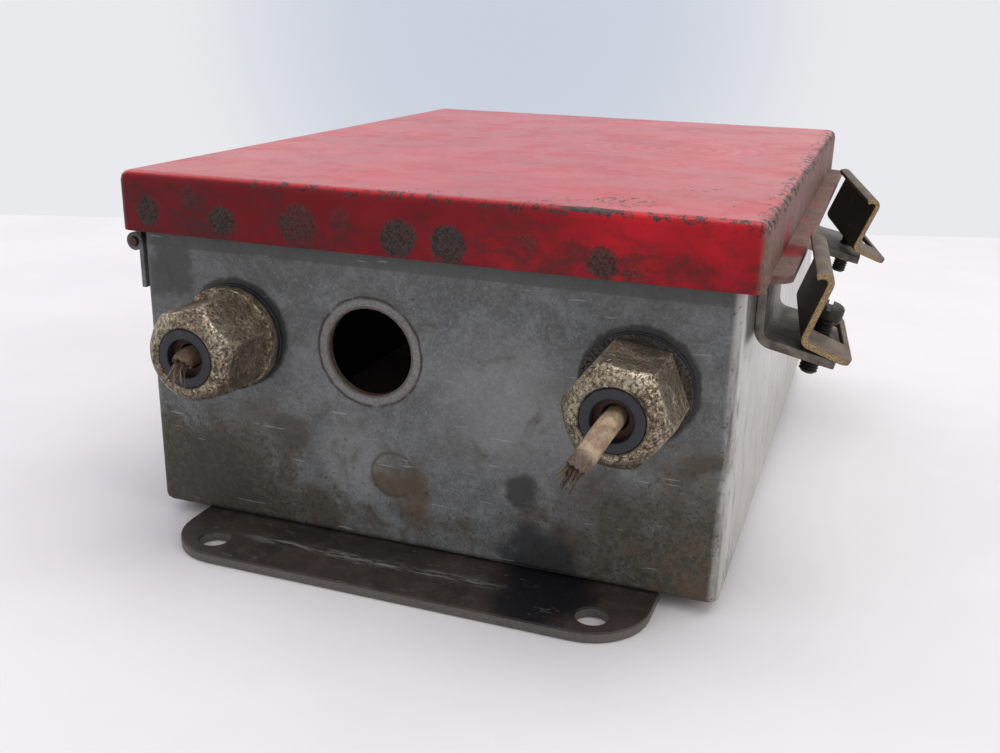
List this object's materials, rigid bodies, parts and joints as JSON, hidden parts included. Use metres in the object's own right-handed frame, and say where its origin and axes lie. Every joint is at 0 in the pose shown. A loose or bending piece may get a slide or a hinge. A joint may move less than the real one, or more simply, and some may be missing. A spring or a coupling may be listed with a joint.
{
  "type": "hinged-lid steel control enclosure",
  "caption": "Worn steel control enclosure with a red hinged lid, screw clamps over its lip, mounting feet, cable glands and an open conduit hole, lying on its back.",
  "frame": {"origin": "centre of the outside of the enclosure's back, which faces down as it lies", "axes": "+Z from the back towards the lid, +Y along the length away from the cable entries, +X towards the clamps and away from the hinge"},
  "size_m": [0.1867, 0.2651, 0.0945],
  "materials": {
    "red_paint": "satin, chipped and worn",
    "grey_paint": "satin, grimy, with rust specks",
    "brown_paint": "matte, scuffed",
    "white_paint": "satin",
    "plain_steel": "dull, dirty",
    "rusty_steel": "rough, lightly rusted",
    "black_steel": "black oxide",
    "plated_brass": "pitted dull plating",
    "black_rubber": "matte",
    "brown_rubber": "matte",
    "grey_jacket": "matte, dirty",
    "black_plastic": "matte",
    "copper": "plated"
  },
  "bodies": {
    "case": {"case_body": "grey_paint", "front_foot": "brown_paint", "rear_foot": "brown_paint", "hinge_leaf_body": "plain_steel", "hinge_pin": "plain_steel", "front_clamp_bracket": "plain_steel", "rear_clamp_bracket": "plain_steel", "left_cable": "grey_jacket", "right_cable": "grey_jacket", "sub_panel": "white_paint", "terminal_block": "black_plastic", "ground_screw": "copper", "left_gland_sealing_washer": "black_rubber", "right_gland_sealing_washer": "black_rubber", "left_gland_ring": "black_rubber", "right_gland_ring": "black_rubber", "left_gland_body": "plated_brass", "left_gland_dome_nut": "plated_brass", "left_gland_locknut": "plain_steel", "left_gland_bush": "brown_rubber", "block_screw_left": "plain_steel", "right_gland_body": "plated_brass", "right_gland_dome_nut": "plated_brass", "right_gland_locknut": "plain_steel", "right_gland_bush": "brown_rubber", "block_screw_right": "plain_steel", "panel_stud_1": "plain_steel", "panel_nut_1": "plain_steel", "panel_stud_2": "plain_steel", "panel_nut_2": "plain_steel", "panel_stud_3": "plain_steel", "panel_nut_3": "plain_steel", "panel_stud_4": "plain_steel", "panel_nut_4": "plain_steel", "terminal_screw_1": "plated_brass", "terminal_screw_2": "plated_brass", "terminal_screw_3": "plated_brass", "terminal_screw_4": "plated_brass", "terminal_screw_5": "plated_brass", "terminal_screw_6": "plated_brass", "terminal_screw_7": "plated_brass", "terminal_screw_8": "plated_brass"},
    "lid_group": {"lid": "red_paint", "lid_gasket": "black_rubber", "hinge_leaf_lid": "plain_steel"},
    "front_clamp_group": {"front_clamp": "rusty_steel"},
    "rear_clamp_group": {"rear_clamp": "rusty_steel"},
    "front_screw_group": {"front_clamp_screw": "black_steel"},
    "rear_screw_group": {"rear_clamp_screw": "black_steel"}
  },
  "joints": [
    {"name": "lid_hinge", "type": "hinge", "parent": "case", "child": "lid_group", "pos_m": [-0.0801, 0, 0.0729], "axis": [0, -1, 0], "range_deg": [0, 180]},
    {"name": "front_clamp_swing", "type": "hinge", "parent": "case", "child": "front_clamp_group", "pos_m": [0.09063, -0.06143, 0.0593], "axis": [0.438, 0.56, 0.7033], "range_deg": [-11.34, 4]},
    {"name": "rear_clamp_swing", "type": "hinge", "parent": "case", "child": "rear_clamp_group", "pos_m": [0.09556, 0.05621, 0.0593], "axis": [0.3566, 0.3537, 0.8647], "range_deg": [-24.67, 5]},
    {"name": "front_clamp_screw_turn", "type": "hinge", "parent": "case", "child": "front_screw_group", "pos_m": [0.09135, -0.067, 0.05926], "axis": [0.2079, 0, 0.9781], "range_deg": [-900, 3600]},
    {"name": "rear_clamp_screw_turn", "type": "hinge", "parent": "case", "child": "rear_screw_group", "pos_m": [0.09135, 0.052, 0.05926], "axis": [0.2079, 0, 0.9781], "range_deg": [-1800, 3600]}
  ]
}
